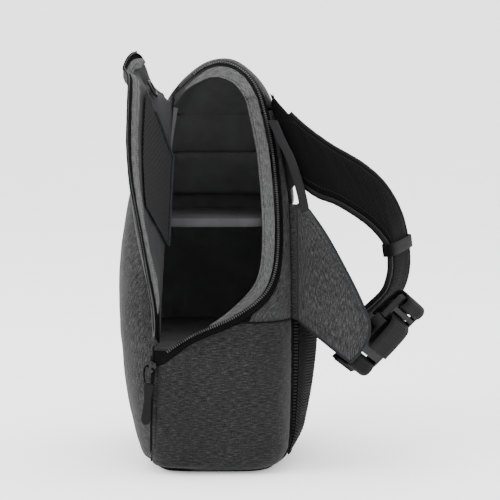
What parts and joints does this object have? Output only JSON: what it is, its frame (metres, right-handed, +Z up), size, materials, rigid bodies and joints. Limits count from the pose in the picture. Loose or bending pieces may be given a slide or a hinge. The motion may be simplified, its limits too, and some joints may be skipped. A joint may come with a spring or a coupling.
{
  "type": "camera sling bag",
  "caption": "Padded sling bag for a camera, standing on its base, with a zipped side flap swung open, a lens shelf inside, and a padded strap closed by a side-release buckle.",
  "frame": {"origin": "on the underside of the base panel, on the bag's centre line", "axes": "+Z up, -Y out of the opening side with the flap, +X out of the padded back"},
  "size_m": [0.2947, 0.2912, 0.3985],
  "materials": {
    "heather": "heathered two-tone polyester plain weave, matte",
    "dark_fabric": "smooth dense nylon, matte",
    "foam": "closed-cell foam sheet behind fabric",
    "lining": "brushed grey lining, soft",
    "pale": "pale grey heathered lining cloth",
    "mesh": "black knitted mesh",
    "tape": "woven black zip tape",
    "coil": "nylon zip coil, satin",
    "board": "stiff plastic sheet",
    "binding": "folded grosgrain binding",
    "strap": "black ribbed air mesh over foam",
    "webbing": "ribbed woven webbing",
    "rubber": "moulded matte rubber",
    "plastic": "satin moulded acetal",
    "metal": "black plated, glossy"
  },
  "bodies": {
    "bag_body": {"base_panel": "dark_fabric", "base_board": "board", "front_panel": "heather", "far_side_panel": "heather", "back_panel": "dark_fabric", "near_lower_panel": "heather", "near_rear_strip": "heather", "crown_panel": "heather", "front_foam": "foam", "far_side_foam": "foam", "back_foam": "foam", "near_lower_foam": "foam", "front_lining": "lining", "far_side_lining": "lining", "back_lining": "lining", "near_lower_lining": "lining", "crown_lining": "lining", "back_mesh_pad": "mesh", "back_yoke": "dark_fabric", "rim_zip_tape": "tape", "rim_zip_coil": "coil", "rim_facing": "pale", "divider_floor": "lining", "lens_cell_wall": "lining", "front_tab": "webbing"},
    "flap": {"flap_outer": "heather", "flap_foam": "foam", "flap_lining": "lining", "flap_zip_tape": "tape", "flap_zip_coil": "coil", "flap_facing": "pale", "flap_mesh_pocket": "mesh", "pocket_binding": "binding", "cable_port_eyelet": "metal"},
    "slider": {"zip_slider": "metal"},
    "pull": {"zip_pull_cord": "webbing", "zip_pull_tab": "rubber"},
    "shelf": {"lens_shelf": "lining"},
    "harness": {"hip_wing": "heather", "wing_strip": "dark_fabric", "shoulder_strap": "strap", "strap_binding_outer": "binding", "strap_binding_inner": "binding", "strap_keeper": "webbing", "buckle_socket": "plastic", "socket_webbing": "webbing"},
    "plug": {"buckle_plug": "plastic", "plug_webbing": "webbing"},
    "prong_left": {"buckle_prong_left": "plastic"},
    "prong_right": {"buckle_prong_right": "plastic"}
  },
  "joints": [
    {"name": "flap_hinge", "type": "hinge", "parent": "bag_body", "child": "flap", "pos_m": [-0.058, -0.11189, 0.11], "axis": [0.0662, 0.3151, 0.9467], "range_deg": [-14, 116]},
    {"name": "zip_slider_slide", "type": "slide", "parent": "bag_body", "child": "slider", "axis": [0.8547, -0.1148, 0.5062], "range_m": [0, 0.02]},
    {"name": "zip_pull_swing", "type": "hinge", "parent": "slider", "child": "pull", "pos_m": [-0.06, -0.11829, 0.104], "axis": [-0.866, 0, 0.5], "range_deg": [0, 150]},
    {"name": "lens_shelf_slide", "type": "slide", "parent": "bag_body", "child": "shelf", "axis": [0, 0, 1], "range_m": [-0.012, 0.012]},
    {"name": "harness_swing", "type": "hinge", "parent": "bag_body", "child": "harness", "pos_m": [0.078, -0.084, 0.143], "axis": [-0.1046, 0.2568, 0.9608], "range_deg": [-25, 25]},
    {"name": "buckle_plug_slide", "type": "slide", "parent": "harness", "child": "plug", "axis": [0.7001, 0, 0.7141], "range_m": [0, 0.025]},
    {"name": "prong_left_squeeze", "type": "hinge", "parent": "plug", "child": "prong_left", "pos_m": [0.16079, -0.08672, 0.14516], "axis": [0.547, -0.6428, -0.5363], "range_deg": [0, 7], "stiffness_Nm_per_rad": 0.4},
    {"name": "prong_right_squeeze", "type": "hinge", "parent": "plug", "child": "prong_right", "pos_m": [0.17364, -0.06527, 0.13256], "axis": [-0.547, 0.6428, 0.5363], "range_deg": [0, 7], "stiffness_Nm_per_rad": 0.4}
  ]
}
